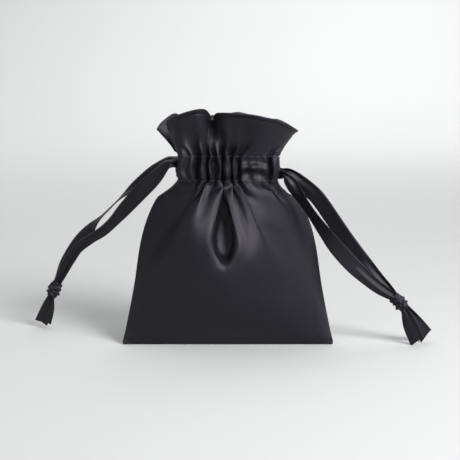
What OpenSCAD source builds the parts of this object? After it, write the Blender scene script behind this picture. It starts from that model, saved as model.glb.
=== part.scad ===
// Drawstring gift pouch, standing closed: two satin panels sewn round three sides, their tops
// turned in to make a ribbon channel and a ruffled header, and two ribbon drawstrings that
// leave the channel at opposite ends, each tied off in a knot with two tails.
// The origin is the middle of the base, +Z is up and the front faces -Y.

/* [Pouch] */
// Width of the pouch along its base
pouch_w = 80; // [64:1:110]
// Height of the standing pouch, from the base to the top of the header
pouch_h = 88; // [72:1:120]
// Depth of the base from front to back
base_d = 18; // [14:1:26]
// Depth of the body where it is fullest
body_d = 32; // [24:1:44]
// Thickness of one layer of cloth
cloth = 0.5; // [0.3:0.05:0.7]

/* [Neck and header] */
// Width of the gathered neck
neck_w = 36; // [28:1:48]
// Depth of the gathered neck
neck_d = 16; // [14:0.5:22]
// Height of the ribbon channel, between its two rows of stitches
channel_h = 9; // [8:0.5:12]
// Free depth of the ribbon channel, between the panel and its facing
channel_gap = 2.4; // [2:0.1:3]
// Height of the header above the channel
header_h = 17; // [10:0.5:24]
// Width of the header along its top edge
header_w = 52; // [40:1:66]
// Depth of the header along its top edge
header_d = 23; // [18:0.5:30]
// Depth of the gathers in the header
header_pleat = 1.1; // [0:0.1:1.6]
// Depth of the gathers below the neck
shoulder_pleat = 0.9; // [0:0.1:1.4]

/* [Seams] */
// Width of the seam allowances inside the pouch
allowance = 6; // [4:0.5:8]
// Length of one stitch
stitch = 2; // [1.5:0.1:2.5]
// Thickness of the sewing thread
thread = 0.35; // [0.25:0.05:0.5]
// Length of the bar tack across the top of each side seam
bar_tack = 3; // [2:0.5:4]

/* [Ribbons] */
// Width of the ribbon where it lies flat
ribbon_w = 6; // [5:0.5:7]
// Thickness of the ribbon as it is modelled
ribbon_t = 0.7; // [0.5:0.05:0.9]
// Height of the ribbon folded inside the channel
run_h = 3.2; // [2.6:0.1:3.4]
// Thickness of the ribbon folded inside the channel
run_t = 1; // [0.8:0.1:1.1]
// Slack loop of each ribbon outside the far end of the channel
slack = 2.6; // [2.3:0.1:3]
// Length of each knot
knot_l = 6.4; // [5.5:0.1:7.5]
// Thickness of each knot
knot_d = 5.2; // [4.5:0.1:6]

/* [Hidden] */
$fn = 48;

satin = [0.16, 0.16, 0.18];
lining = [0.11, 0.11, 0.13];
ribbon_black = [0.2, 0.2, 0.22];
thread_black = [0.3, 0.3, 0.32];

// Heights of the landmarks
channel_z = pouch_h - header_h - channel_h;
header_z = channel_z + channel_h;
seam_top_z = 0.92 * channel_z;
middle_z = channel_z + channel_h / 2;

// Gap between the two panels where they are sewn edge to edge, and half the depth at a sewn edge
seam_gap = 0.2;
seam_edge = cloth + seam_gap / 2;
// The ends of the channel stand apart nearly as far as its middle, so the ribbons run straight
end_step = 0.8;
channel_edge = neck_d / 2 - end_step;
// Depth of a panel with its facing lying against it
layer_gap = 0.2;
hem_inset = cloth + layer_gap;
channel_inset = cloth + channel_gap;
// Columns of a cloth layer's grid
columns = 36;

// Keys are pairs of a height and a value, and the curve runs smoothly through them.
function slope(keys, i) =
    let (last = len(keys) - 1, a = max(i - 1, 0), b = min(i + 1, last))
    (keys[b][1] - keys[a][1]) / (keys[b][0] - keys[a][0]);
function key_below(keys, z) = max([0, for (j = [1:len(keys) - 2]) if (z >= keys[j][0]) j]);
function curve(keys, z) =
    let (i = key_below(keys, z), step = keys[i + 1][0] - keys[i][0],
         t = min(1, max(0, (z - keys[i][0]) / step)))
    (2 * t ^ 3 - 3 * t ^ 2 + 1) * keys[i][1] + (t ^ 3 - 2 * t ^ 2 + t) * step * slope(keys, i)
    + (3 * t ^ 2 - 2 * t ^ 3) * keys[i + 1][1] + (t ^ 3 - t ^ 2) * step * slope(keys, i + 1);
function ease(a, b, z) = let (t = min(1, max(0, (z - a) / (b - a)))) t * t * (3 - 2 * t);

// Share of the way from the base's half width to the neck's, by height below the channel
narrowing = [[0, 0], [0.1, 0.07], [0.35, 0.2], [0.62, 0.32], [0.8, 0.48], [0.92, 0.68], [1, 0.98]];
width_keys = concat(
    [for (k = narrowing) [k[0] * channel_z, (pouch_w - k[1] * (pouch_w - neck_w)) / 2]],
    [[header_z, neck_w / 2], [header_z + 0.3 * header_h, neck_w / 2 + 0.38 * (header_w - neck_w) / 2],
     [header_z + 0.7 * header_h, neck_w / 2 + 0.9 * (header_w - neck_w) / 2], [pouch_h, header_w / 2]]);
depth_keys = [[0, base_d / 2], [0.1 * channel_z, base_d / 2 + 0.45 * (body_d - base_d) / 2],
    [0.35 * channel_z, body_d / 2 - 0.3], [0.6 * channel_z, body_d / 2],
    [0.8 * channel_z, body_d / 2 - 0.3 * (body_d - neck_d) / 2],
    [seam_top_z, body_d / 2 - 0.68 * (body_d - neck_d) / 2], [channel_z, neck_d / 2],
    [header_z, neck_d / 2], [header_z + 0.5 * header_h, neck_d / 2 + 0.4 * (header_d - neck_d) / 2],
    [pouch_h, header_d / 2]];
function half_width(z) = curve(width_keys, z);
function half_depth(z) = curve(depth_keys, z);
// The slit at each end of the channel opens above the side seam
function edge_depth(z) = seam_edge + (channel_edge - seam_edge) * ease(seam_top_z, channel_z, z);
// Sections are lens shaped at the base and nearly square across at the neck
function squareness(z) = 2 + 2 * ease(0, channel_z, z);
gathers = 6;
function pleat(u, z) =
    let (below = ease(0.55 * channel_z, seam_top_z, z) * (1 - ease(seam_top_z, channel_z - 1, z)),
         above = ease(header_z + 1, pouch_h, z))
    (shoulder_pleat * below + header_pleat * above) * cos(180 * gathers * u) * (1 - u ^ 4);
// A point of the front: u runs from -1 at the left edge to 1 at the right, inset goes inwards
function skin(u, z, inset) =
    let (edge = edge_depth(z), middle = half_depth(z))
    [half_width(z) * u,
     inset - edge - (middle - edge) * (1 - abs(u) ^ squareness(z)) - pleat(u, z), z];

// A closed solid between an outer and an inner grid with the same rows and columns
module shell(outer, inner) {
    rows = len(outer);
    cols = len(outer[0]);
    grid = concat([for (row = outer) each row], [for (row = inner) each row]);
    function at(layer, r, c) = layer * rows * cols + r * cols + c;
    function quad(a, b, c, d) = [[a, b, c], [a, c, d]];
    faces = concat(
        [for (r = [0:rows - 2], c = [0:cols - 2])
            each quad(at(0, r, c), at(0, r + 1, c), at(0, r + 1, c + 1), at(0, r, c + 1))],
        [for (r = [0:rows - 2], c = [0:cols - 2])
            each quad(at(1, r, c), at(1, r, c + 1), at(1, r + 1, c + 1), at(1, r + 1, c))],
        [for (c = [0:cols - 2])
            each quad(at(0, 0, c), at(0, 0, c + 1), at(1, 0, c + 1), at(1, 0, c))],
        [for (c = [0:cols - 2])
            each quad(at(0, rows - 1, c), at(1, rows - 1, c), at(1, rows - 1, c + 1), at(0, rows - 1, c + 1))],
        [for (r = [0:rows - 2])
            each quad(at(0, r, 0), at(1, r, 0), at(1, r + 1, 0), at(0, r + 1, 0))],
        [for (r = [0:rows - 2])
            each quad(at(0, r, cols - 1), at(0, r + 1, cols - 1), at(1, r + 1, cols - 1), at(1, r, cols - 1))]);
    polyhedron(points = grid, faces = faces, convexity = 10);
}
function across() = [for (c = [0:columns]) 2 * c / columns - 1];

// Rows of the top of a panel and of its facing, which share their heights so that they nest:
// each is a height and the facing's distance behind the panel's outside.
turn = 0.7;
facing_rows = [[channel_z - 1.8, hem_inset], [channel_z - 0.1, hem_inset],
    [channel_z + turn, channel_inset], [middle_z, channel_inset], [header_z - turn, channel_inset],
    [header_z + 0.1, hem_inset],
    for (r = [1:6]) [header_z + r / 6 * header_h, hem_inset]];
body_rows = 19;

// One outer panel: half of the flat base, the body, the outside of the channel and of the header
module panel() {
    seam_line = [for (u = across()) [half_width(0) * u, -seam_gap / 2, 0]];
    seam_line_inside = [for (u = across()) [(half_width(0) - 1) * u, -seam_gap / 2, 1.5 * cloth]];
    heights = concat([for (r = [0:body_rows - 1]) (channel_z - 1.8) * r / body_rows],
        [for (row = facing_rows) row[0]]);
    shell(
        concat([seam_line], [for (z = heights) [for (u = across()) skin(u, z, 0)]]),
        concat([seam_line_inside], [for (z = heights) [for (u = across()) skin(u, max(z, cloth), cloth)]]));
}
module front_panel() {
    color(satin) panel();
}
module back_panel() {
    color(satin) mirror([0, 1, 0]) panel();
}

// The cloth turned in at the top of a panel: the inside of the header and of the channel
module facing() {
    shell(
        [for (row = facing_rows) [for (u = across()) skin(u, row[0], row[1])]],
        [for (row = facing_rows) [for (u = across()) skin(u, row[0], row[1] + cloth)]]);
}
module front_facing() {
    color(lining) facing();
}
module back_facing() {
    color(lining) mirror([0, 1, 0]) facing();
}

// The doubled raw edges inside a side seam, from the base to the bar tack
seam_half = 0.3;
seam_start_z = 1.5;
seam_in = 0.3;
function side_row(z, y) = [[half_width(z) - allowance, y, z], [half_width(z) - seam_in, y, z]];
module side_seam() {
    heights = [for (r = [0:12]) seam_start_z + (seam_top_z - seam_start_z) * r / 12];
    shell([for (z = heights) side_row(z, -seam_half)], [for (z = heights) side_row(z, seam_half)]);
}
module left_side_seam() {
    color(lining) mirror([1, 0, 0]) side_seam();
}
module right_side_seam() {
    color(lining) side_seam();
}
// The allowance that stands up inside along the bottom seam, between the two side seams
bottom_seam_z = 0.2;
bottom_seam_w = 2 * (half_width(bottom_seam_z + allowance) - allowance - seam_in);
module bottom_seam() {
    color(lining) translate([-bottom_seam_w / 2, -seam_half, bottom_seam_z])
        cube([bottom_seam_w, 2 * seam_half, allowance]);
}

// Stitches of the side seam, through both panels' edges and the allowance between them. The last
// one ends just below the bar tack.
bar_h = 1;
tack_gap = 0.4;
seam_stitch_in = 1;
seam_stitch_d = 1.8;
seam_stitch_pitch = 1.5 * stitch;
module side_stitching() {
    first = seam_start_z + stitch;
    last = seam_top_z - bar_h - tack_gap - stitch;
    count = floor((last - first) / seam_stitch_pitch);
    for (i = [0:count], z = first + (last - first) * i / count)
        translate([half_width(z) - seam_stitch_in - thread / 2, -seam_stitch_d / 2, z])
            cube([thread, seam_stitch_d, stitch]);
}
module left_seam_stitching() {
    color(thread_black) mirror([1, 0, 0]) side_stitching();
}
module right_seam_stitching() {
    color(thread_black) side_stitching();
}
// Stitches of the bottom seam, through the panels and the allowance just above the base
bottom_stitch_d = 1;
bottom_stitch_z = 0.25;
module bottom_seam_stitching() {
    count = floor(bottom_seam_w / seam_stitch_pitch / 2);
    color(thread_black) for (i = [-count:count])
        translate([i * seam_stitch_pitch - stitch / 2, -bottom_stitch_d / 2, bottom_stitch_z])
            cube([stitch, bottom_stitch_d, thread]);
}

// A row of stitches through a panel and its facing, following the gathered neck
stitch_pitch = 1.45 * stitch;
thread_proud = 0.2;
module channel_stitching(z) {
    reach = half_width(z) - stitch;
    count = floor(reach / stitch_pitch);
    for (i = [-count:count]) {
        outside = skin(i * stitch_pitch / half_width(z), z, 0);
        translate([outside[0] - stitch / 2, outside[1] - thread_proud, z - thread / 2])
            cube([stitch, hem_inset + cloth + 2 * thread_proud, thread]);
    }
}
module front_upper_stitching() {
    color(thread_black) channel_stitching(header_z);
}
module front_lower_stitching() {
    color(thread_black) channel_stitching(channel_z);
}
module back_upper_stitching() {
    color(thread_black) mirror([0, 1, 0]) channel_stitching(header_z);
}
module back_lower_stitching() {
    color(thread_black) mirror([0, 1, 0]) channel_stitching(channel_z);
}

// The close stitches across the top of each side seam, which stop it from tearing at the slit
bar_w = 1;
module bar() {
    translate([half_width(seam_top_z) - 0.8 * bar_w, -bar_tack / 2, seam_top_z - bar_h])
        cube([bar_w, bar_tack, bar_h]);
}
module left_bar_tack() {
    color(thread_black) mirror([1, 0, 0]) bar();
}
module right_bar_tack() {
    color(thread_black) bar();
}

// A ribbon's run: it lies folded in the front and back of the channel and passes round the far end.
// The left ribbon has the upper half of the channel and the right ribbon the lower half.
run_clear = 0.2;
run_y = channel_edge - cloth - run_clear - run_t / 2;
run_out = 0.8;
run_in = 0.2;
exit_x = neck_w / 2 + run_out;
far_x = neck_w / 2 + slack;
left_run_z = middle_z + channel_h / 4 - run_in;
right_run_z = middle_z - channel_h / 4 + run_in;
corner = 1.5;
module rounded(x0, x1, half_y, r) {
    union() {
        translate([x0, -half_y]) square([x1 - r - x0, 2 * half_y]);
        translate([x0, r - half_y]) square([x1 - x0, 2 * (half_y - r)]);
        for (side = [-1, 1]) translate([x1 - r, side * (half_y - r)]) circle(r);
    }
}
module ribbon_run(z) {
    translate([0, 0, z - run_h / 2]) linear_extrude(run_h) difference() {
        rounded(-exit_x, far_x + run_t, run_y + run_t / 2, corner);
        rounded(-exit_x - 1, far_x, run_y - run_t / 2, corner - run_t / 2);
    }
}
module left_ribbon_run() {
    color(ribbon_black) ribbon_run(left_run_z);
}
module right_ribbon_run() {
    color(ribbon_black) mirror([1, 0, 0]) ribbon_run(right_run_z);
}

// A ribbon's strands and tails are swept along points chosen by hand: x, y, z, the share of
// its width that it shows unfolded, and the angle by which its flat side turns up from the front.
left_front_route = [[-19.4, -6, 68.5, 0.2, 0], [-21, -6, 68.3, 0.5, 0], [-23, -6, 67.5, 0.6, 0],
    [-27, -5, 63, 0.9, 0], [-33, -3, 57, 1, 0], [-40, 1, 49.5, 1, 10], [-46.5, 6, 42.5, 0.92, 20],
    [-52.5, 10, 38, 0.83, 25], [-58, 13, 34, 0.83, 15], [-62, 15, 29, 0.83, 0],
    [-65, 16.4, 24, 0.77, 0], [-67.8, 17.2, 18.6, 0.57, 0]];
left_back_route = [[-19.4, 6, 68.5, 0.2, 0], [-21, 6.2, 68.4, 0.5, 0], [-23, 6.6, 67.8, 0.6, 0],
    [-28, 8, 64, 0.9, 10], [-35, 10, 59, 0.93, 40], [-40.5, 11.5, 54.5, 1, 70],
    [-45, 13, 50, 1, 75], [-50, 14.5, 45, 1, 70], [-54, 15.5, 40.5, 1, 40],
    [-58, 16.2, 36, 0.93, 15], [-62, 17, 30.5, 0.83, 0], [-65.2, 17.9, 25, 0.77, 0],
    [-67.8, 18.7, 18.6, 0.57, 0]];
right_front_route = [[19.4, -6, 64.4, 0.2, 0], [21, -6.1, 64, 0.4, 0], [23, -6.6, 61.5, 0.73, 0],
    [26.5, -7, 56.5, 1, 45], [31, -7.2, 50, 1, 55], [36, -7.2, 43, 1, 40], [41, -7.2, 36.5, 1, 15],
    [47, -7, 30, 1, 0], [53.5, -6.4, 24, 0.83, 0], [58, -5.9, 20.6, 0.73, 0],
    [62.7, -5.5, 17.9, 0.57, 0]];
right_back_route = [[19.4, 6, 64.4, 0.2, 0], [21, 6, 64.2, 0.4, 0], [23, 5.8, 63.5, 0.67, 0],
    [27, 5, 60.5, 0.93, 0], [33.5, 3, 55, 1, 0], [39, 1, 47.5, 1, 0], [44.5, -1, 39.5, 1, 0],
    [50.5, -2.6, 31.5, 1, 0], [56.5, -3.6, 24.5, 0.83, 0], [59.5, -3.8, 21.4, 0.73, 0],
    [62.7, -4, 17.9, 0.57, 0]];
left_front_tail_route = [[-70.3, 17.9, 13.3, 0.53, 0], [-72, 18.5, 8.6, 0.93, 10],
    [-75, 19.4, 1.9, 1, 10]];
left_back_tail_route = [[-70.2, 19.3, 13.3, 0.53, 0], [-71.6, 20.4, 8.6, 0.93, 0],
    [-73.8, 21.8, 1.6, 1, 0]];
right_front_tail_route = [[66.3, -6, 13.8, 0.53, 0], [68.2, -7.4, 8.4, 0.93, 0],
    [71.2, -8.6, 1.6, 1, 0]];
right_back_tail_route = [[66.6, -4.6, 13.8, 0.53, 0], [70.8, -4, 8, 0.93, 0],
    [75.4, -3.2, 2.4, 1, 0]];

function blend(a, b, c, d, t) =
    0.5 * (2 * b + (c - a) * t + (2 * a - 5 * b + 4 * c - d) * t ^ 2 + (3 * b - a - 3 * c + d) * t ^ 3);
rings_a_span = 2;
// The route's points with one more between each pair, on a smooth curve through them
function fine(route) =
    let (last = len(route) - 1)
    concat([for (i = [0:last - 1], k = [0:rings_a_span - 1])
        blend(route[max(i - 1, 0)], route[i], route[i + 1], route[min(i + 2, last)], k / rings_a_span)],
        [route[last]]);
function place(p) = [p[0], p[1], p[2]];
function unit(v) = v / norm(v);
function ring(points, i) =
    let (last = len(points) - 1, p = points[i],
         along = unit(place(points[min(i + 1, last)]) - place(points[max(i - 1, 0)])),
         side = unit(cross(along, [0, 0, 1])), up = cross(side, along),
         wide = up * cos(p[4]) + side * sin(p[4]), thick = cross(along, wide))
    [for (a = [0:45:315]) place(p) + wide * cos(a) * p[3] * ribbon_w / 2 + thick * sin(a) * ribbon_t / 2];
module ribbon(route) {
    points = fine(route);
    last = len(points) - 1;
    rings = [for (i = [0:last]) each ring(points, i)];
    faces = concat(
        [[for (k = [0:7]) k]], [[for (k = [7:-1:0]) last * 8 + k]],
        [for (i = [0:last - 1], k = [0:7])
            each [[i * 8 + k, (i + 1) * 8 + k, (i + 1) * 8 + (k + 1) % 8],
                  [i * 8 + k, (i + 1) * 8 + (k + 1) % 8, i * 8 + (k + 1) % 8]]]);
    color(ribbon_black) polyhedron(points = rings, faces = faces, convexity = 6);
}

// A tied knot, drawn as a barrel along its ribbon with one turn standing round it
module knot(centre, along) {
    aim = unit(along);
    color(ribbon_black) translate(centre) rotate([0, acos(aim[2]), atan2(aim[1], aim[0])]) union() {
        intersection() {
            sphere(r = 0.56 * knot_l);
            cylinder(h = knot_l, d = knot_d - 0.6, center = true);
        }
        rotate_extrude() translate([knot_d / 2 - 1, 0]) circle(1);
    }
}
module left_knot() {
    knot([-69.1, 18.3, 15.9], [-2.9, 0.8, -7]);
}
module right_knot() {
    knot([64.5, -5, 15.9], [4.2, -0.6, -4.6]);
}

front_panel();
back_panel();
front_facing();
back_facing();
left_side_seam();
right_side_seam();
bottom_seam();
left_seam_stitching();
right_seam_stitching();
bottom_seam_stitching();
front_upper_stitching();
front_lower_stitching();
back_upper_stitching();
back_lower_stitching();
left_bar_tack();
right_bar_tack();
left_ribbon_run();
right_ribbon_run();
ribbon(left_front_route);  // left_front_strand
ribbon(left_back_route);  // left_back_strand
ribbon(right_front_route);  // right_front_strand
ribbon(right_back_route);  // right_back_strand
left_knot();
right_knot();
ribbon(left_front_tail_route);  // left_front_tail
ribbon(left_back_tail_route);  // left_back_tail
ribbon(right_front_tail_route);  // right_front_tail
ribbon(right_back_tail_route);  // right_back_tail
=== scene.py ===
"""A drawstring gift pouch of gathered satin, with two knotted ribbon drawstrings, on a pale stage."""

import math

import bmesh
import bpy
import numpy as np
from bpy.props import FloatProperty, FloatVectorProperty, IntProperty, PointerProperty
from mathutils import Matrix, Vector


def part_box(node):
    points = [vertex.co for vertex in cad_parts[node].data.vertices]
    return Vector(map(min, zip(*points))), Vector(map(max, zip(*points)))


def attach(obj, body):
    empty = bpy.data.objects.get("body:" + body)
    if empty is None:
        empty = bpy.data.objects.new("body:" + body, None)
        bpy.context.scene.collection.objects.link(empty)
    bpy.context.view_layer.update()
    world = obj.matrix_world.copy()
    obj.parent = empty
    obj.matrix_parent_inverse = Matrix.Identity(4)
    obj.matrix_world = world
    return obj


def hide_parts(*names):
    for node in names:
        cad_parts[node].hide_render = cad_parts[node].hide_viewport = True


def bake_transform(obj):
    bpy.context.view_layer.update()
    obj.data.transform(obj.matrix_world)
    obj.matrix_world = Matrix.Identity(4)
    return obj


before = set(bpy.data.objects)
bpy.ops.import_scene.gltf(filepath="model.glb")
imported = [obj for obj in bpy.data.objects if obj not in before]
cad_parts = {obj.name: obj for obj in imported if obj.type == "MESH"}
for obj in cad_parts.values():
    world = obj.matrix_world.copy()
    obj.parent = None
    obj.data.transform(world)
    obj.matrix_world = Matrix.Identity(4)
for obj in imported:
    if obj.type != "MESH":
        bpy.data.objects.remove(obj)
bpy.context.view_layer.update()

bl_info = {
    "name": "Drawstring Gift Pouch",
    "version": (1, 0, 0),
    "blender": (4, 5, 0),
    "location": "View3D > Sidebar > Pouch",
    "description": "Builds a satin drawstring pouch with ribbon drawstrings around its packed frame",
    "category": "Object",
}

MM = 0.001


# ---------------------------------------------------------------- landmarks of the frame

def middle(node):
    """The centre of a frame node's box."""
    low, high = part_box(node)
    return (low + high) / 2


HALF_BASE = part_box("front_panel")[1].x
TOP_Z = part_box("front_panel")[1].z
NECK_Z = middle("front_lower_stitching").z
HEADER_Z = middle("front_upper_stitching").z
LEFT_RUN_Z = middle("left_ribbon_run").z
RIGHT_RUN_Z = middle("right_ribbon_run").z
FAR_LOOP_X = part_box("left_ribbon_run")[1].x
RUN_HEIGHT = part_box("left_ribbon_run")[1].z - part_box("left_ribbon_run")[0].z


def side_outline():
    """Heights of the standing pouch and its half width at each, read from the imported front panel."""
    widest = {}
    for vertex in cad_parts["front_panel"].data.vertices:
        z = round(vertex.co.z, 4)
        if z < 0.2 * MM or 2 * MM < z:
            widest[z] = max(widest.get(z, 0), vertex.co.x)
    heights = sorted(widest)
    return np.array(heights), np.array([widest[z] for z in heights])


# ---------------------------------------------------------------- sizes and colours a user changes

def measure(name, description, default):
    """A length that a user can change."""
    return FloatProperty(name=name, description=description, default=default,
                         subtype="DISTANCE", unit="LENGTH")


def colour_choice(name, description, default):
    """A colour that a user can change."""
    return FloatVectorProperty(name=name, description=description, default=default,
                               subtype="COLOR", size=3, min=0.0, max=1.0)


class PouchCloth(bpy.types.PropertyGroup):
    flat_width: measure("Flat width", "Width of each panel before it is gathered", 2 * HALF_BASE)
    body_height: measure("Body height", "Cloth from the bottom seam to the ribbon channel", 67.5 * MM)
    channel_height: measure("Channel height", "Cloth between the two rows of stitches",
                            HEADER_Z - NECK_Z + 0.3 * MM)
    header_height: measure("Header height", "Cloth above the ribbon channel", TOP_Z - HEADER_Z)
    thickness: measure("Thickness", "Thickness of one layer of satin", 0.22 * MM)
    columns: IntProperty(
        name="Columns", description="Columns of the cloth's grid across one panel",
        default=112, min=24, max=160)
    air: FloatProperty(
        name="Air", description="How firmly the body is filled out while it is drawn closed",
        default=1.2, min=0.0, max=3.0)
    colour: colour_choice("Colour", "Colour of the satin", (0.0042, 0.0040, 0.0058))


class PouchRibbon(bpy.types.PropertyGroup):
    width: measure("Width", "Width of the ribbon where it lies flat", 6 * MM)
    thickness: measure("Thickness", "Thickness of the ribbon", 0.34 * MM)
    colour: colour_choice("Colour", "Colour of the ribbon", (0.0048, 0.0046, 0.0062))


class PouchThread(bpy.types.PropertyGroup):
    stitch: measure("Stitch", "Length of one stitch", 1.7 * MM)
    pitch: measure("Pitch", "Distance from one stitch to the next", 2.5 * MM)
    thickness: measure("Thickness", "Thickness of the thread", 0.3 * MM)
    colour: colour_choice("Colour", "Colour of the thread", (0.012, 0.012, 0.014))


class PouchStage(bpy.types.PropertyGroup):
    lens: FloatProperty(
        name="Lens", description="Focal length of the camera, in millimetres",
        default=85.0, min=20.0, max=300.0)
    distance: measure("Distance", "Distance from the camera to the pouch", 0.410)
    elevation: FloatProperty(
        name="Elevation", description="Angle of the camera above the surface",
        default=math.radians(9), subtype="ANGLE")
    colour: colour_choice("Floor colour", "Colour of the floor and the backdrop", (0.385, 0.387, 0.387))
    daylight: FloatProperty(
        name="Daylight", description="Strength of the even light from all round",
        default=0.42, min=0.0, max=3.0)


# ---------------------------------------------------------------- meshes

def add_object(name, mesh, material):
    piece = bpy.data.objects.new(name, mesh)
    bpy.context.scene.collection.objects.link(piece)
    if material is not None:
        mesh.materials.append(material)
    mesh.shade_smooth()
    return piece


def make_mesh(name, points, faces, uv=None):
    """A mesh from points and faces; uv gives each point its place on the flat cloth, in metres."""
    mesh = bpy.data.meshes.new(name)
    mesh.from_pydata([tuple(float(x) for x in p) for p in points], [], faces)
    if uv is not None:
        layer = mesh.uv_layers.new(name="flat")
        corners = np.zeros(len(mesh.loops), dtype=np.int32)
        mesh.loops.foreach_get("vertex_index", corners)
        layer.data.foreach_set("uv", np.asarray(uv, dtype=np.float32)[corners].ravel())
    mesh.update()
    return mesh


def grid_faces(rows, columns, flip=False, first=0):
    """Quads of a grid whose points go row by row."""
    faces = []
    for r in range(rows - 1):
        for c in range(columns - 1):
            a = first + r * columns + c
            quad = [a, a + 1, a + 1 + columns, a + columns]
            faces.append(quad[::-1] if flip else quad)
    return faces


def tube_faces(rings, around, closed=False):
    """Quads between rings of points; the last ring of a closed tube meets the first."""
    faces = []
    for r in range(rings if closed else rings - 1):
        j = (r + 1) % rings
        for k in range(around):
            m = (k + 1) % around
            faces.append([r * around + k, r * around + m, j * around + m, j * around + k])
    return faces


def outward(mesh):
    """Turns every face of a closed mesh outwards."""
    solid = bmesh.new()
    solid.from_mesh(mesh)
    bmesh.ops.recalc_face_normals(solid, faces=solid.faces)
    solid.to_mesh(mesh)
    solid.free()
    return mesh


def subdivide(piece):
    modifier = piece.modifiers.new("Smooth", "SUBSURF")
    modifier.levels = 1
    modifier.render_levels = 1


def thicken(piece, thickness, offset):
    """Gives a sheet its thickness: offset -1 is behind its faces and 0 is on both sides."""
    modifier = piece.modifiers.new("Thickness", "SOLIDIFY")
    modifier.thickness = thickness
    modifier.offset = offset


def smooth_curve(keys, steps):
    """Points on a smooth curve through the keys, with the given number of steps between two keys."""
    keys = np.asarray(keys, dtype=float)
    last = len(keys) - 1
    points = []
    for i in range(last):
        a, b, c, d = keys[max(i - 1, 0)], keys[i], keys[i + 1], keys[min(i + 2, last)]
        for t in np.arange(steps) / steps:
            points.append(0.5 * (2 * b + (c - a) * t + (2 * a - 5 * b + 4 * c - d) * t ** 2
                                 + (3 * b - a - 3 * c + d) * t ** 3))
    points.append(keys[last])
    return np.array(points)


def distances(line):
    """How far along a line each of its points is."""
    steps = np.linalg.norm(np.diff(line, axis=0), axis=1)
    return np.concatenate([[0], np.cumsum(steps)])


def even_points(line, count):
    """The line's points again, as count points at equal distances along it."""
    along = distances(line)
    wanted = np.linspace(0, along[-1], count)
    return np.column_stack([np.interp(wanted, along, line[:, k]) for k in range(line.shape[1])])


def ease(t):
    t = np.clip(t, 0, 1)
    return t * t * (3 - 2 * t)


def unit(v):
    return v / max(float(np.linalg.norm(v)), 1e-12)


def as_units(rows):
    """Each row of an array as a direction of length 1."""
    return rows / np.maximum(np.linalg.norm(rows, axis=-1, keepdims=True), 1e-12)


# ---------------------------------------------------------------- materials

def set_inputs(made, **inputs):
    """Sets a node's inputs; an underscore stands for the space in an input's name."""
    for name, value in inputs.items():
        made.inputs[name.replace("_", " ")].default_value = value


def node(tree, kind, **inputs):
    made = tree.nodes.new(kind)
    set_inputs(made, **inputs)
    return made


def sockets(group, way, kind, *names):
    """Adds inputs or outputs of one kind to a node group."""
    for name in names:
        group.interface.new_socket(name=name, in_out=way, socket_type="NodeSocket" + kind)


def maths(tree, operation, a, b=0.0):
    made = tree.nodes.new("ShaderNodeMath")
    made.operation = operation
    for socket, value in zip(made.inputs, (a, b)):
        if isinstance(value, (int, float)):
            socket.default_value = value
        else:
            tree.links.new(value, socket)
    return made.outputs[0]


def blended(tree, a, b, share):
    """Share of a with the rest of b."""
    return maths(tree, "ADD", maths(tree, "MULTIPLY", a, share), maths(tree, "MULTIPLY", b, 1 - share))


def weave_group():
    """Satin's long floats and the ribbing under them, with slubs along the threads."""
    group = bpy.data.node_groups.new("Weave", "ShaderNodeTree")
    sockets(group, "INPUT", "Vector", "Vector")
    sockets(group, "INPUT", "Float", "Thread")
    sockets(group, "OUTPUT", "Float", "Height", "Slub")
    entry = group.nodes.new("NodeGroupInput")
    end = group.nodes.new("NodeGroupOutput")
    split = group.nodes.new("ShaderNodeSeparateXYZ")
    group.links.new(entry.outputs["Vector"], split.inputs[0])
    turn = maths(group, "DIVIDE", 2 * math.pi, entry.outputs["Thread"])
    lean = maths(group, "MULTIPLY", split.outputs["Y"], 0.35)
    across = maths(group, "ADD", split.outputs["X"], lean)
    warp = maths(group, "SINE", maths(group, "MULTIPLY", across, turn))
    tilt = maths(group, "MULTIPLY", split.outputs["X"], 0.2)
    back = maths(group, "SUBTRACT", split.outputs["Y"], tilt)
    weft = maths(group, "SINE", maths(group, "MULTIPLY", back, maths(group, "MULTIPLY", turn, 0.5)))
    both = blended(group, warp, weft, 0.7)
    group.links.new(maths(group, "ADD", maths(group, "MULTIPLY", both, 0.5), 0.5), end.inputs["Height"])
    stretch = node(group, "ShaderNodeMapping", Scale=(2600, 260, 1))
    group.links.new(entry.outputs["Vector"], stretch.inputs["Vector"])
    slubs = node(group, "ShaderNodeTexNoise", Scale=1.0, Detail=3.0, Roughness=0.6)
    group.links.new(stretch.outputs[0], slubs.inputs["Vector"])
    group.links.new(slubs.outputs["Fac"], end.inputs["Slub"])
    return group


def scaled(tree, value, low, high):
    """Maps 0..1 to low..high."""
    made = node(tree, "ShaderNodeMapRange", To_Min=low, To_Max=high)
    tree.links.new(value, made.inputs["Value"])
    return made.outputs[0]


def two_tone(tree, value, dark, light):
    made = tree.nodes.new("ShaderNodeMix")
    made.data_type = "RGBA"
    made.inputs[6].default_value = (*dark, 1)
    made.inputs[7].default_value = (*light, 1)
    tree.links.new(value, made.inputs["Factor"])
    return made.outputs[2]


def shade(colour, amount):
    return tuple(channel * amount for channel in colour)


# Each finish: the size of its thread, its roughness, shine and sheen, whether its weave follows the
# flat cloth, the depth of its relief, and how far its shine is drawn out along the thread
FINISHES = {
    "Satin": (0.24 * MM, 0.40, 0.27, 0.02, True, 0.09 * MM, 0.3),
    "Raw satin edge": (0.24 * MM, 0.6, 0.4, 0.1, False, 0.05 * MM, 0.0),
    "Ribbon": (0.42 * MM, 0.46, 0.26, 0.03, True, 0.08 * MM, 0.2),
    "Thread": (0.12 * MM, 0.55, 0.4, 0.1, False, 0.03 * MM, 0.0),
}


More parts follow.
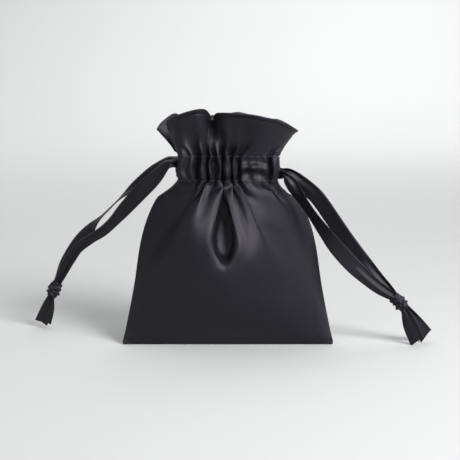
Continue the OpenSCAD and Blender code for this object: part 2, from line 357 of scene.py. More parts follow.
def cloth_material(name, colour, thread, roughness, specular, sheen, flat, depth, anisotropic):
    """Woven cloth: its colour and roughness vary with the slubs, and its relief is the weave."""
    material = bpy.data.materials.new(name)
    material.use_nodes = True
    tree = material.node_tree
    shader = tree.nodes["Principled BSDF"]
    place = tree.nodes.new("ShaderNodeUVMap" if flat else "ShaderNodeTexCoord")
    if flat:
        place.uv_map = "flat"
    where = place.outputs["UV" if flat else "Object"]
    weave = tree.nodes.new("ShaderNodeGroup")
    weave.node_tree = bpy.data.node_groups.get("Weave") or weave_group()
    weave.inputs["Thread"].default_value = thread
    tree.links.new(where, weave.inputs["Vector"])
    cloudy = node(tree, "ShaderNodeTexNoise", Scale=90.0, Detail=2.0, Roughness=0.5)
    tree.links.new(where, cloudy.inputs["Vector"])
    mixed = blended(tree, weave.outputs["Slub"], cloudy.outputs["Fac"], 0.7)
    tones = two_tone(tree, mixed, shade(colour, 0.72), shade(colour, 1.28))
    tree.links.new(tones, shader.inputs["Base Color"])
    tree.links.new(scaled(tree, mixed, roughness - 0.10, roughness + 0.10), shader.inputs["Roughness"])
    relief = node(tree, "ShaderNodeBump", Strength=0.5, Distance=depth)
    grain = maths(tree, "MULTIPLY", weave.outputs["Slub"], 0.8)
    tree.links.new(maths(tree, "ADD", weave.outputs["Height"], grain), relief.inputs["Height"])
    tree.links.new(relief.outputs["Normal"], shader.inputs["Normal"])
    set_inputs(shader, Specular_IOR_Level=specular, Specular_Tint=(0.95, 0.91, 1, 1), Sheen_Weight=sheen,
               Sheen_Roughness=0.45, Sheen_Tint=(0.86, 0.84, 0.95, 1), Anisotropic=anisotropic)
    return material


def material_named(name):
    """The finish of that name, made the first time that a piece asks for it."""
    if name not in bpy.data.materials:
        scene = bpy.context.scene
        colours = {
            "Satin": scene.pouch_cloth.colour, "Raw satin edge": shade(scene.pouch_cloth.colour, 1.3),
            "Ribbon": scene.pouch_ribbon.colour, "Thread": scene.pouch_thread.colour}
        cloth_material(name, tuple(colours[name]), *FINISHES[name])
    return bpy.data.materials[name]


# ---------------------------------------------------------------- ribbons

# Points of each ribbon from its slit to its knot, and of each tail from the knot to its cut end:
# x, y and z in millimetres, the share of its width that it shows unfolded, and the angle in degrees
# by which its flat side turns up from facing the front
STRANDS = {
    "left_front_strand": [
        (-19.4, -6, 68.5, 0.2, 0), (-21, -6, 68.3, 0.5, 0), (-23, -6, 67.5, 0.6, 0),
        (-27, -5, 63, 0.9, 0), (-33, -3, 57, 1, 0), (-40, 1, 49.5, 1, 10), (-46.5, 6, 42.5, 0.92, 20),
        (-52.5, 10, 38, 0.83, 25), (-58, 13, 34, 0.83, 15), (-62, 15, 29, 0.83, 0),
        (-65, 16.4, 24, 0.77, 0), (-67.8, 17.2, 18.6, 0.57, 0)],
    "left_back_strand": [
        (-19.4, 6, 68.5, 0.2, 0), (-21, 6.2, 68.4, 0.5, 0), (-23, 6.6, 67.8, 0.6, 0),
        (-28, 8, 64, 0.9, 10), (-35, 10, 59, 0.93, 40), (-40.5, 11.5, 54.5, 1, 70),
        (-45, 13, 50, 1, 75), (-50, 14.5, 45, 1, 70), (-54, 15.5, 40.5, 1, 40),
        (-58, 16.2, 36, 0.93, 15), (-62, 17, 30.5, 0.83, 0), (-65.2, 17.9, 25, 0.77, 0),
        (-67.8, 18.7, 18.6, 0.57, 0)],
    "right_front_strand": [
        (19.4, -6, 64.4, 0.2, 0), (21, -6.1, 64, 0.4, 0), (23, -6.6, 61.5, 0.73, 0),
        (26.5, -7, 56.5, 1, 45), (31, -7.2, 50, 1, 55), (36, -7.2, 43, 1, 40), (41, -7.2, 36.5, 1, 15),
        (47, -7, 30, 1, 0), (53.5, -6.4, 24, 0.83, 0), (58, -5.9, 20.6, 0.73, 0),
        (62.7, -5.5, 17.9, 0.57, 0)],
    "right_back_strand": [
        (19.4, 6, 64.4, 0.2, 0), (21, 6, 64.2, 0.4, 0), (23, 5.8, 63.5, 0.67, 0),
        (27, 5, 60.5, 0.93, 0), (33.5, 3, 55, 1, 0), (39, 1, 47.5, 1, 0), (44.5, -1, 39.5, 1, 0),
        (50.5, -2.6, 31.5, 1, 0), (56.5, -3.6, 24.5, 0.83, 0), (59.5, -3.8, 21.4, 0.73, 0),
        (62.7, -4, 17.9, 0.57, 0)],
}
TAILS = {
    "left_front_tail": [
        (-70.3, 17.9, 13.3, 0.53, 0), (-72, 18.5, 8.6, 0.93, 10), (-75, 19.4, 1.9, 1, 10)],
    "left_back_tail": [
        (-70.2, 19.3, 13.3, 0.53, 0), (-71.6, 20.4, 8.6, 0.93, 0), (-73.8, 21.8, 1.6, 1, 0)],
    "right_front_tail": [
        (66.3, -6, 13.8, 0.53, 0), (68.2, -7.4, 8.4, 0.93, 0), (71.2, -8.6, 1.6, 1, 0)],
    "right_back_tail": [
        (66.6, -4.6, 13.8, 0.53, 0), (70.8, -4, 8, 0.93, 0), (75.4, -3.2, 2.4, 1, 0)],
}
# How far the run of a ribbon in the channel stands from the middle of the neck, front and back
RUN_Y = 3.7 * MM
# Points across one face of a ribbon
RIBBON_POINTS = 11
# Half waves across a ribbon where it is folded together
FOLDS = 3
# How far the cut end of each side's tails slants, and how deep it is notched
CUT_ENDS = {"left": (0.5 * MM, 0.45 * MM), "right": (-0.7 * MM, 0)}
# Each knot's middle and the way its ribbons run through it
KNOTS = {
    "left": (Vector((-0.0691, 0.0183, 0.0159)), Vector((-2.9, 0.8, -7.0)).normalized()),
    "right": (Vector((0.0645, -0.0050, 0.0159)), Vector((4.2, -0.6, -4.6)).normalized()),
}
# The three turns of ribbon round a knot: how far each is tilted and leans, its radius, how flat it
# is, the share of its width that shows, how far along the knot it sits, and where its folds start
TURNS = (
    (1.0, 0.12, 2.45 * MM, 0.86, 0.52, -1.0 * MM, 0.7),
    (-0.75, -0.2, 2.35 * MM, 0.92, 0.46, 1.2 * MM, 2.1),
    (1.9, 0.3, 2.1 * MM, 0.95, 0.42, 0.1 * MM, 3.9),
)
TURN_TILT = {"left": 0.5, "right": -0.45}
# Points round a turn
TURN_POINTS = 40
# Length and radius of the bunched ribbons inside a knot, and its rings of points
CORE_LENGTH, CORE_RADIUS = 7.6 * MM, 2.0 * MM
CORE_RINGS, CORE_AROUND = 19, 36
# How far inside the CAD's far loop the visible one lies
FAR_LOOP_INSET = 2.4 * MM


def in_metres(route):
    """The points of a route with x, y and z in metres."""
    return np.array(route, dtype=float) * (MM, MM, MM, 1, 1)


def folded_depth(width, share):
    """Depth of the folds that take up a ribbon's width where only a share of it shows."""
    return 2 * share * width / (math.pi * FOLDS) * math.sqrt(max(1 / share - 1, 0))


def ribbon_shell(line, width, thickness, cut=0.0, notch=0.0, crease=1.0):
    """Points, faces and flat places of one strip along a line of x, y, z, share and angle."""
    places = line[:, :3]
    last = len(line) - 1
    across = np.linspace(-1, 1, RIBBON_POINTS)
    points, uv = [], []
    gone = 0.0
    for i, (x, y, z, share, angle) in enumerate(line):
        before = places[max(i - 1, 0)]
        after = places[min(i + 1, last)]
        along = unit(after - before)
        side = unit(np.cross(along, (0, 0, 1)))
        up = np.cross(side, along)
        turn = math.radians(angle)
        wide = up * math.cos(turn) + side * math.sin(turn)
        thick = np.cross(along, wide)
        share = min(max(share, 0.15), 1)
        depth = crease * folded_depth(width, share)
        if i:
            gone += float(np.linalg.norm(places[i] - places[i - 1]))
        for face in (1, -1):
            for s in across[::face]:
                fold = depth * math.cos(math.pi * FOLDS * s / 2 + 0.6) + 0.12 * MM * s * s
                edge = 1 + 0.3 * abs(s) ** 6
                half = face * thickness / 2 * edge * (1 - 0.6 * abs(s) ** 16)
                point = places[i] + wide * s * share * width / 2 + thick * (fold + half)
                if i == last:
                    point = point + along * (cut * s - notch * (1 - abs(s)))
                points.append(point)
                uv.append((s * width / 2, gone))
    ring = 2 * RIBBON_POINTS
    faces = tube_faces(last + 1, ring)
    for start, flip in ((0, False), (last * ring, True)):
        for k in range(RIBBON_POINTS - 1):
            quad = [start + k, start + ring - 1 - k, start + ring - 2 - k, start + k + 1]
            faces.append(quad[::-1] if flip else quad)
    return points, faces, uv


def ribbon_piece(name, line, cut=0.0, notch=0.0, crease=1.0):
    """One strip of ribbon; its far end slants by cut and is notched, and crease scales its folds."""
    ribbon = bpy.context.scene.pouch_ribbon
    points, faces, uv = ribbon_shell(line, ribbon.width, ribbon.thickness, cut, notch, crease)
    return add_object(name, outward(make_mesh(name, points, faces, uv)), material_named("Ribbon"))


def strand_line(name):
    """A strand's line: out of the channel's end at its slit, and then along its own points."""
    route = in_metres(STRANDS[name])
    sign = -1 if name.startswith("left") else 1
    depth = RUN_Y if "back" in name else -RUN_Y
    z = LEFT_RUN_Z if sign < 0 else RIGHT_RUN_Z
    start = [(sign * 17.6 * MM, depth, z, 0.6, 0), (sign * 19.3 * MM, 1.06 * depth, route[1, 2], 0.55, 0)]
    return smooth_curve(np.vstack([start, route[1:]]), 8)


def finish_piece(piece, body, slot, *nodes):
    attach(piece, body)
    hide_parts(*nodes)
    return piece


class POUCH_OT_ribbon_ends(bpy.types.Operator):
    """Makes the four strands, two knots and four tails of the ribbons outside the pouch"""

    bl_idname = "pouch.ribbon_ends"
    bl_label = "Ribbon ends"

    def execute(self, context):
        for side, sign in (("left", -1), ("right", 1)):
            knot = tied_knot(side)
            for face in ("front", "back"):
                name = f"{side}_{face}_tail"
                line = smooth_curve(in_metres(TAILS[name]), 10)
                tail = ribbon_piece(name + "_ribbon", line, *CUT_ENDS[side])
                finish_piece(tail, f"{side}_pull", "ribbon", name)
            for face in ("front", "back"):
                name = f"{side}_{face}_strand"
                line = strand_line(name)
                strand = ribbon_piece(name + "_ribbon", line)
                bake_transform(strand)
                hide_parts(name)
        return {"FINISHED"}


def across_knot(along):
    """Two directions across a knot: one that lies in the view from the front, and one in depth."""
    side = unit(np.cross(along, (0, 1, 0)))
    return side, unit(np.cross(side, along))


def turn_shell(centre, along, tilt, lean, radius, flat, share, shift, seed):
    """A turn of folded ribbon that wraps a knot."""
    ribbon = bpy.context.scene.pouch_ribbon
    side, depth = across_knot(along)
    axis = unit(along * math.cos(tilt) + side * math.sin(tilt) + depth * lean)
    first = unit(np.cross(axis, depth))
    second = np.cross(axis, first)
    angles = np.linspace(0, 2 * math.pi, TURN_POINTS + 1)[:-1]
    line = np.array([centre + along * shift + first * radius * math.cos(t)
                     + second * radius * flat * math.sin(t) for t in angles])
    across = np.linspace(-1, 1, RIBBON_POINTS)
    points, uv = [], []
    for place, t in zip(line, angles):
        out = place - line.mean(axis=0)
        out = unit(out - axis * float(out @ axis))
        pinch = share * (1 + 0.18 * math.sin(2 * t + seed))
        deep = 0.7 * folded_depth(ribbon.width, min(pinch, 1))
        for face in (1, -1):
            for s in across[::face]:
                fold = deep * math.cos(math.pi * FOLDS * s / 2 + seed) - 0.55 * MM * s * s
                half = face * ribbon.thickness / 2 * (1 - 0.5 * abs(s) ** 12)
                points.append(place + axis * s * pinch * ribbon.width / 2 + out * (fold + half))
                uv.append((s * ribbon.width / 2, t * radius))
    return points, tube_faces(TURN_POINTS, 2 * RIBBON_POINTS, closed=True), uv


def core_shell(centre, along, seed):
    """The bunched ribbons that pass through a knot, folded lengthwise."""
    side, depth = across_knot(along)
    points, uv = [], []
    for t in np.linspace(-1, 1, CORE_RINGS):
        swell = CORE_RADIUS * (0.62 + 0.38 * math.sqrt(max(1 - t * t, 0)))
        swell *= 0.25 + 0.75 * min(1, (1 - abs(t)) * 8) ** 0.5
        for k in range(CORE_AROUND):
            a = 2 * math.pi * k / CORE_AROUND
            crumple = 1 + 0.13 * math.cos(5 * a + seed + 0.8 * t) + 0.05 * math.cos(9 * a - seed)
            out = side * math.cos(a) + depth * 0.8 * math.sin(a)
            points.append(centre + along * t * CORE_LENGTH / 2 + out * swell * crumple)
            uv.append((a * CORE_RADIUS, t * CORE_LENGTH / 2))
    faces = tube_faces(CORE_RINGS, CORE_AROUND)
    faces.append(list(range(CORE_AROUND))[::-1])
    faces.append([(CORE_RINGS - 1) * CORE_AROUND + k for k in range(CORE_AROUND)])
    return points, faces, uv


def tied_knot(side):
    """An overhand knot of both ribbons: the bunched core and the turns that hold it."""
    centre, along = (np.array(v) for v in KNOTS[side])
    shells = [core_shell(centre, along, 0.4)]
    shells += [turn_shell(centre, along, TURN_TILT[side] * tilt, *rest) for tilt, *rest in TURNS]
    points, faces, uv = [], [], []
    for shell_points, shell_faces, shell_uv in shells:
        faces += [[len(points) + i for i in face] for face in shell_faces]
        points += shell_points
        uv += shell_uv
    name = f"{side}_knot_ribbon"
    knot = add_object(name, outward(make_mesh(name, points, faces, uv)), material_named("Ribbon"))
    subdivide(knot)
    return finish_piece(knot, f"{side}_pull", "ribbon", f"{side}_knot")


class POUCH_OT_ribbon_runs(bpy.types.Operator):
    """Makes each ribbon's run through the channel and round the far slit"""

    bl_idname = "pouch.ribbon_runs"
    bl_label = "Ribbon runs"

    def execute(self, context):
        far = FAR_LOOP_X - FAR_LOOP_INSET
        share = RUN_HEIGHT / context.scene.pouch_ribbon.width
        for side, sign, z in (("left", -1, LEFT_RUN_Z), ("right", 1, RIGHT_RUN_Z)):
            half = [(sign * 17.7 * MM, RUN_Y), (0, RUN_Y), (-sign * 15 * MM, RUN_Y),
                    (-sign * (far - 2.2 * MM), 0.97 * RUN_Y), (-sign * (far - 0.7 * MM), 0.6 * RUN_Y)]
            turn = [(x, -y) for x, y in half] + [(-sign * far, 0)] + half[::-1]
            line = smooth_curve([(x, y, z, share, 0) for x, y in turn], 8)
            run = ribbon_piece(f"{side}_run_ribbon", line, crease=0.2)
            finish_piece(run, f"{side}_drawstring", "ribbon", f"{side}_ribbon_run")
        return {"FINISHED"}


# ---------------------------------------------------------------- the satin

# Folds of the gathered neck from left to right, in millimetres: x of a ridge, how far it stands
# from the middle of the neck, and how far the valley after it does. The ends wrap round the slits.
FRONT_FOLDS = [
    (-18.4, 4.1, 4.9), (-18.1, 5.7, 6.3), (-16.2, 6.8, 6.2), (-12.8, 7.1, 4.7), (-8.9, 8.1, 4.2),
    (-6.0, 7.3, 4.8), (-3.6, 7.6, 4.2), (-0.2, 8.2, 4.4), (2.3, 7.5, 4.8), (4.9, 7.3, 7.1),
    (9.4, 7.4, 7.0), (13.6, 7.2, 4.6), (16.4, 6.8, 6.3), (18.1, 5.7, 4.9), (18.4, 4.1, 4.1)]
BACK_FOLDS = [
    (-18.4, 4.1, 4.9), (-18.1, 5.7, 6.3), (-16.4, 6.8, 4.6), (-13.2, 7.3, 4.3), (-10.0, 7.6, 4.3),
    (-7.0, 7.8, 4.3), (-3.8, 7.9, 4.2), (-0.4, 7.9, 4.3), (2.9, 7.9, 4.2), (6.2, 7.8, 4.3),
    (9.5, 7.5, 4.3), (12.9, 7.2, 4.6), (16.4, 6.8, 6.3), (18.1, 5.7, 4.9), (18.4, 4.1, 4.1)]
# Top edge of each side of the header, in millimetres: x, distance from the middle, and z
FRONT_TOP = [
    (-23.0, 1.6, 83.0), (-21.8, 5.2, 84.2), (-18.2, 8.6, 86.0), (-14.0, 10.4, 87.4), (-10.2, 10.4, 88.2),
    (-7.8, 8.4, 87.8), (-6.4, 4.2, 85.6), (-5.8, 1.6, 84.2), (-5.2, 4.2, 85.2), (-4.2, 8.4, 86.6),
    (-1.2, 11.0, 86.9), (4.0, 12.6, 86.6), (9.0, 12.8, 86.2), (14.0, 11.8, 85.2), (19.0, 9.6, 83.8),
    (23.2, 6.2, 81.8), (25.8, 2.4, 79.9), (25.6, -0.4, 79.6)]
BACK_TOP = [
    (-26.5, 0.6, 80.4), (-25.2, 4.0, 82.4), (-22.2, 7.4, 84.8), (-20.0, 8.8, 85.7), (-17.6, 8.8, 84.6),
    (-14.0, 7.4, 84.2), (-10.0, 5.2, 84.4), (-7.6, 5.4, 84.6), (-5.0, 8.0, 84.8), (-1.0, 10.4, 85.2),
    (3.4, 11.4, 86.0), (7.0, 10.2, 85.4), (10.0, 7.0, 84.4), (12.4, 7.4, 83.6), (15.4, 9.2, 83.4),
    (18.8, 10.2, 83.4), (22.6, 8.0, 81.8), (25.4, 3.6, 79.8), (25.0, -0.6, 79.2)]
# Folds that hang down the front from the neck, in millimetres: x, distance from the middle and z,
# from the valley in the neck down to where the fold runs out
HANGING_FOLDS = [
    [(-1.75, 4.2, 62.0), (-1.8, 7.6, 54.0), (-1.7, 11.8, 45.0)],
    [(-10.7, 4.4, 62.0), (-11.4, 8.4, 52.5)],
    [(3.6, 4.5, 62.0), (6.4, 8.2, 55.0), (8.8, 11.6, 49.0)],
    [(15.0, 4.6, 62.0), (18.2, 8.6, 53.5)]]
# The bottom seam lies at the front of the base, and the back panel's foot makes the base
BOTTOM_SEAM_Y = -7 * MM
BASE_DEPTH = 15 * MM
# The simulation works in units of 10 mm, where the cloth solver is steady
SIM = 100.0
# Share of the pouch's height below which its side seams follow the frame's outline
SEAM_HELD = 0.86
# Share by which the header is lower at its two ends, where it leans outwards
HEADER_DROP = 0.28
# The dent below the middle of the neck: height of its centre line's ends, its x there, half its
# width where it is widest, its depth and the height of the swelling round it
DENT_TOP, DENT_FOOT = 57 * MM, 33.5 * MM
DENT_X = -1.6 * MM
DENT_HALF = 3.8 * MM
DENT_DEPTH = 4.8 * MM
DENT_RIM = 0.45 * MM
# Broad folds of the header's front, in millimetres: x at the neck, spread and height
HEADER_WAVES = (
    (-15.0, 2.0, 0.6), (-10.6, 1.5, -0.7), (-7.6, 1.0, 0.4), (-2.4, 1.3, 0.8),
    (1.2, 1.2, -0.4), (5.2, 2.0, -1.0), (10.0, 2.6, 0.6))
# The stretch of the channel where the front isn't gathered, and the creases along it: share of the
# channel's height where each lies, its spread, and its height in millimetres
CREASE_FROM, CREASE_TO = 3.4 * MM, 15.6 * MM
CREASES = ((0.55, 0.09, 0.7), (0.30, 0.15, -1.3), (0.80, 0.13, -0.8))
# How far the top edge is turned in, and the distance between the outside and the facing
HEM = 1.25 * MM
FACING_GAP = 0.55 * MM
# Relief of the hem: distance below the top as a share of its depth, and the height in millimetres
HEM_RELIEF = ((1.5, 0.0), (1.15, -0.1), (1.0, -0.2), (0.8, -0.02), (0.5, 0.1), (0.2, 0.06))
# The fold at the top edge: its rise in millimetres and the share of the gap that it has crossed
HEM_FOLD = ((0.0, 0.0), (0.2, 0.12), (0.28, 0.5), (0.2, 0.88), (0.0, 1.0))
# Distances of the seam edges' outer line and of the seams' stitches from the seam
EDGE_START, SEAM_STITCHES = 0.4 * MM, 1.1 * MM
# Rows of the cloth's grid: in the body, the channel and the header
ROWS = (54, 9, 16)
# Share of the body's height where the side seams end and the slits begin
SLIT_SHARE = 0.94
# Each side of the pouch: its name, the way it faces, its folds and its top edge
FACES = (("front", -1, FRONT_FOLDS, FRONT_TOP), ("back", 1, BACK_FOLDS, BACK_TOP))
# How the cloth stretches, bends and calms down in the simulation
CLOTH_SETTINGS = {
    "mass": 0.3, "tension_stiffness": 25, "compression_stiffness": 25, "shear_stiffness": 8,
    "bending_stiffness": 1.0, "tension_damping": 10, "compression_damping": 10, "shear_damping": 8,
    "bending_damping": 1.0, "air_damping": 3, "vertex_group_mass": "held", "use_pressure": True,
    "vertex_group_pressure": "filled"}

drawn = {}


def neck_line(folds, count):
    """The gathered neck seen from above, as count points at equal distances along the cloth."""
    corners = []
    for (x, ridge, valley), following in zip(folds, folds[1:]):
        corners += [(x, ridge), ((x + following[0]) / 2, valley)]
    corners.append(folds[-1][:2])
    line = []
    for (x0, y0), (x1, y1) in zip(corners, corners[1:]):
        for t in np.arange(12) / 12:
            s = t * t * (3 - 2 * t)
            line.append((x0 + (x1 - x0) * (0.35 * s + 0.65 * t), y0 + (y1 - y0) * s))
    line.append(corners[-1])
    return even_points(np.array(line) * MM, count)


def held_seam(heights, body_height):
    """Places on the side seam of points at those heights up the flat cloth."""
    outline_z, outline_x = side_outline()
    z = np.linspace(0, NECK_Z, 200)
    x = np.interp(z, outline_z, outline_x)
    along = np.concatenate([[0], np.cumsum(np.hypot(np.diff(z), np.diff(x)))])
    share = heights / body_height * along[-1]
    seam_z = np.interp(share, along, z)
    seam_x = np.interp(share, along, x)
    seam_y = BOTTOM_SEAM_Y * (1 - ease(seam_z / (0.45 * NECK_Z)))
    return seam_x, seam_y, seam_z


def cloth_rows(cloth, density):
    """Heights of the grid's rows up the flat cloth, and the rows of the lower and upper stitches."""
    counts = [max(2, round(n * density)) for n in ROWS]
    lower = counts[0]
    upper = lower + counts[1]
    spans = (cloth.body_height, cloth.channel_height, cloth.header_height)
    heights, start = [], 0.0
    for count, span in zip(counts, spans):
        heights += [start + span * i / count for i in range(count)]
        start += span
    return np.array(heights + [start]), lower, upper


def hold_folds(target, held, line, heights, u):
    """Holds the bottom of each hanging fold, from its valley in the neck downwards."""
    for keys in HANGING_FOLDS:
        keys = np.array(keys) * MM
        neck = int(np.argmin(np.hypot(line[:, 0] - keys[0, 0], line[:, 1] - keys[0, 1])))
        fall = smooth_curve(keys, 12)
        along = distances(fall)
        for r in range(len(heights) - 2, 0, -1):
            below = heights[-1] - heights[r]
            if below > along[-1]:
                break
            x, y, z = (np.interp(below, along, fall[:, i]) for i in range(3))
            shift = (x - keys[0, 0]) * 1.2
            c = int(np.clip(round(neck + shift / (2 * HALF_BASE) * (len(u) - 1)), 1, len(u) - 2))
            target[r, c] = (x, -y, z)
            held[r, c] = True


def base_row(u, y):
    """A row of points of the flat base, just above the surface that the pouch stands on."""
    return np.column_stack([HALF_BASE * 0.99 * u, np.full(len(u), y), np.full(len(u), 0.1 * MM)])


def drawn_target(cloth, heights, lower, upper, columns):
    """Where each held point of the two panels goes when the neck is drawn closed."""
    u = np.linspace(-1, 1, columns)
    count = len(heights)
    target = np.zeros((2, count, columns, 3))
    held = np.zeros((2, count, columns), dtype=bool)
    seam_x, seam_y, seam_z = held_seam(heights[:lower + 1], cloth.body_height)
    slit = int(SLIT_SHARE * lower)
    seam_rows = [r for r in range(1, slit + 1) if heights[r] < SEAM_HELD * cloth.body_height]
    for k, (_, sign, folds, top) in enumerate(FACES):
        line = neck_line(folds, columns)
        edge = even_points(smooth_curve(np.array(top) * MM, 10), columns)
        target[k, 0] = base_row(u, BOTTOM_SEAM_Y)
        held[k, 0] = True
        if sign > 0:
            for r in range(1, count):
                flat = heights[r] < BASE_DEPTH * (1 - u * u)
                target[k, r, flat] = base_row(u, BOTTOM_SEAM_Y + heights[r])[flat]
                held[k, r, flat] = True
        for r, z in ((lower, NECK_Z), (upper, HEADER_Z)):
            target[k, r] = np.column_stack([line[:, 0], sign * line[:, 1], np.full(columns, z)])
            held[k, r] = True
        if sign < 0:
            hold_folds(target[k], held[k], line, heights[:lower + 1], u)
        target[k, -1] = edge * (1, sign, 1)
        held[k, -1] = True
        for r in seam_rows:
            for c, way in ((0, -1), (columns - 1, 1)):
                target[k, r, c] = (way * seam_x[r], seam_y[r], seam_z[r])
                held[k, r, c] = True
    return target, held, slit


def cloth_grid(cloth, heights, lower, upper, columns):
    """The flat panels' points, faces and held points; the panels share their side and bottom seams."""
    target, held, slit = drawn_target(cloth, heights, lower, upper, columns)
    u = np.linspace(-1, 1, columns)
    index = np.zeros((2, len(heights), columns), dtype=int)
    start, end, pins, air = [], [], [], []
    for k, sign in ((0, -1), (1, 1)):
        for r, h in enumerate(heights):
            for c in range(columns):
                if k == 1 and (r == 0 or (c in (0, columns - 1) and r <= slit)):
                    index[k, r, c] = index[0, r, c]
                    continue
                index[k, r, c] = len(start)
                bulge = 3 * MM * (1 - u[c] ** 2) * math.sin(math.pi * min(h / cloth.body_height, 1))
                gap = 0.6 * MM if r > slit else 0
                drop = HEADER_DROP * ease((abs(u[c]) - 0.5) / 0.5) * max(h - heights[upper], 0)
                place = (cloth.flat_width / 2 * u[c], sign * (bulge + gap), h - drop)
                start.append(place)
                end.append(target[k, r, c] if held[k, r, c] else place)
                if held[k, r, c]:
                    pins.append(index[k, r, c])
                air.append(1.0 if r < lower else (0.5 if r < upper else 0.0))
    faces = []
    for k, places in enumerate(index.reshape(2, -1)):
        for quad in grid_faces(len(heights), columns, flip=k == 1):
            faces.append([int(places[i]) for i in quad])
    return np.array(start), np.array(end), pins, air, faces, index


def draw_closed(cloth):
    """Simulates the two sewn panels as their neck is drawn closed; returns both panels' grids."""
    density = 1.0
    columns = int(cloth.columns * density) + 1
    frames, settle, quality = ((34, 24, 5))
    heights, lower, upper = cloth_rows(cloth, density)
    start, end, pins, air, faces, index = cloth_grid(cloth, heights, lower, upper, columns)
    bag = add_object("bag", make_mesh("bag", start * SIM, faces), None)
    bag.shape_key_add(name="flat")
    key = bag.shape_key_add(name="drawn")
    key.data.foreach_set("co", (end * SIM).ravel())
    held = bag.vertex_groups.new(name="held")
    held.add([int(i) for i in pins], 1.0, "REPLACE")
    filled = bag.vertex_groups.new(name="filled")
    for i, share in enumerate(air):
        if share:
            filled.add([i], share, "REPLACE")
    key.value = 0
    key.keyframe_insert("value", frame=1)
    key.value = 1
    key.keyframe_insert("value", frame=frames)
    for curve in bag.data.shape_keys.animation_data.action.fcurves:
        for point in curve.keyframe_points:
            point.interpolation = "LINEAR"
    corners = [(-30, -30, 0), (30, -30, 0), (30, 30, 0), (-30, 30, 0)]
    ground = add_object("ground", make_mesh("ground", corners, [[0, 1, 2, 3]]), None)
    ground.modifiers.new("Collision", "COLLISION")
    ground.collision.thickness_outer = 0.01
    solver = bag.modifiers.new("Cloth", "CLOTH")
    settings = solver.settings
    settings.quality = quality
    for name, value in CLOTH_SETTINGS.items():
        setattr(settings, name, value)
    settings.uniform_pressure_force = cloth.air
    settings.effector_weights.gravity = 0.1
    solver.collision_settings.use_collision = True
    solver.collision_settings.distance_min = 0.02
    solver.collision_settings.use_self_collision = False
    solver.point_cache.frame_start = 1
    solver.point_cache.frame_end = frames + settle
    scene = bpy.context.scene
    scene.frame_start = 1
    scene.frame_end = frames + settle
    for moment in range(1, frames + settle + 1):
        scene.frame_set(moment)
    settled = bag.evaluated_get(bpy.context.evaluated_depsgraph_get())
    places = np.zeros(len(settled.data.vertices) * 3)
    settled.data.vertices.foreach_get("co", places)
    places = places.reshape(-1, 3) / SIM
    if not np.isfinite(places).all():
        raise RuntimeError("the cloth simulation did not settle")
    places[:, 2] = np.maximum(places[:, 2], 0.05 * MM)
    bpy.data.objects.remove(bag)
    bpy.data.objects.remove(ground)
    scene.frame_set(1)
    return {"panels": places[index], "heights": heights, "lower": lower, "upper": upper,
            "columns": columns, "slit": int(SLIT_SHARE * lower)}


def grid_normals(grid, sign):
    """Outward directions at a panel's points; sign is -1 for the front and 1 for the back."""
    across = np.gradient(grid, axis=1)
    up = np.gradient(grid, axis=0)
    return as_units(-sign * np.cross(across, up))


def evened(grid, rounds, share):
    """Moves a panel's inner points a share of the way to the middle of their neighbours."""
    grid = grid.copy()
    for _ in range(rounds):
        even = (grid[:-2, 1:-1] + grid[2:, 1:-1] + grid[1:-1, :-2] + grid[1:-1, 2:]) / 4
        grid[1:-1, 1:-1] += share * (even - grid[1:-1, 1:-1])
    return grid


def softened_header(grid):
    """Lets the gathers run out above the neck, where the header spreads into broad soft folds."""
    heights, upper = drawn["heights"], drawn["upper"]
    above = ease((heights - heights[upper] - 1.5 * MM) / (6 * MM))[:, None, None]
    for _ in range(26):
        even = (grid[:, :-2] + grid[:, 2:]) / 2
        grid[:-1, 1:-1] += (above * 0.5 * (even - grid[:, 1:-1]))[:-1]
    return grid


def softened_body(grid, rounds):
    """Softens the folds below the neck, with the seams and the neck left in place."""
    heights, lower = drawn["heights"], drawn["lower"]
    below = ease((heights[lower] - heights - 3 * MM) / (9 * MM))[1:-1, None, None]
    return evened(grid, rounds, below * 0.6)


def bump(x, middle_x, spread):
    """A smooth hump of height 1 round a middle."""
    return np.exp(-((x - middle_x) / spread) ** 2)


def dented(grid):
    """Presses the teardrop dent into the front below the neck, with a swelling round it."""
    share = (DENT_TOP - grid[..., 2]) / (DENT_TOP - DENT_FOOT)
    half = DENT_HALF * (0.25 + 0.75 * ease(share / 0.75))
    half = half * np.sqrt(np.clip(1 - (share - 0.75) / 0.28, 0, 1))
    half = np.where(share < 0, 0.25 * DENT_HALF, np.maximum(half, 0.2 * DENT_HALF))
    reach = np.abs(grid[..., 0] - DENT_X - 0.4 * MM * share) / half
    along = ease(share / 0.35) * (1 - ease((share - 0.88) / 0.16))
    inward = DENT_DEPTH * along * (1 - ease((reach - 0.1) / 1.15))
    rim = DENT_RIM * ease(share / 0.3) * bump(reach, 1.5, 0.5)
    rim *= 1 - ease((share - 1.0) / 0.25)
    return grid + grid_normals(grid, -1) * (rim - inward)[..., None]


def waved(grid):
    """Gives the front of the header its broad soft folds, which run out at the neck and the hem."""
    heights, upper = drawn["heights"], drawn["upper"]
    share = np.clip((heights - heights[upper]) / (heights[-1] - heights[upper]), 0, 1)[:, None]
    x = grid[..., 0] / MM / (1 + 0.35 * share)
    push = sum(height * bump(x, middle_x, spread) for middle_x, spread, height in HEADER_WAVES)
    push = push * np.sin(math.pi * share) ** 0.8 * MM
    return grid + grid_normals(grid, -1) * push[..., None]


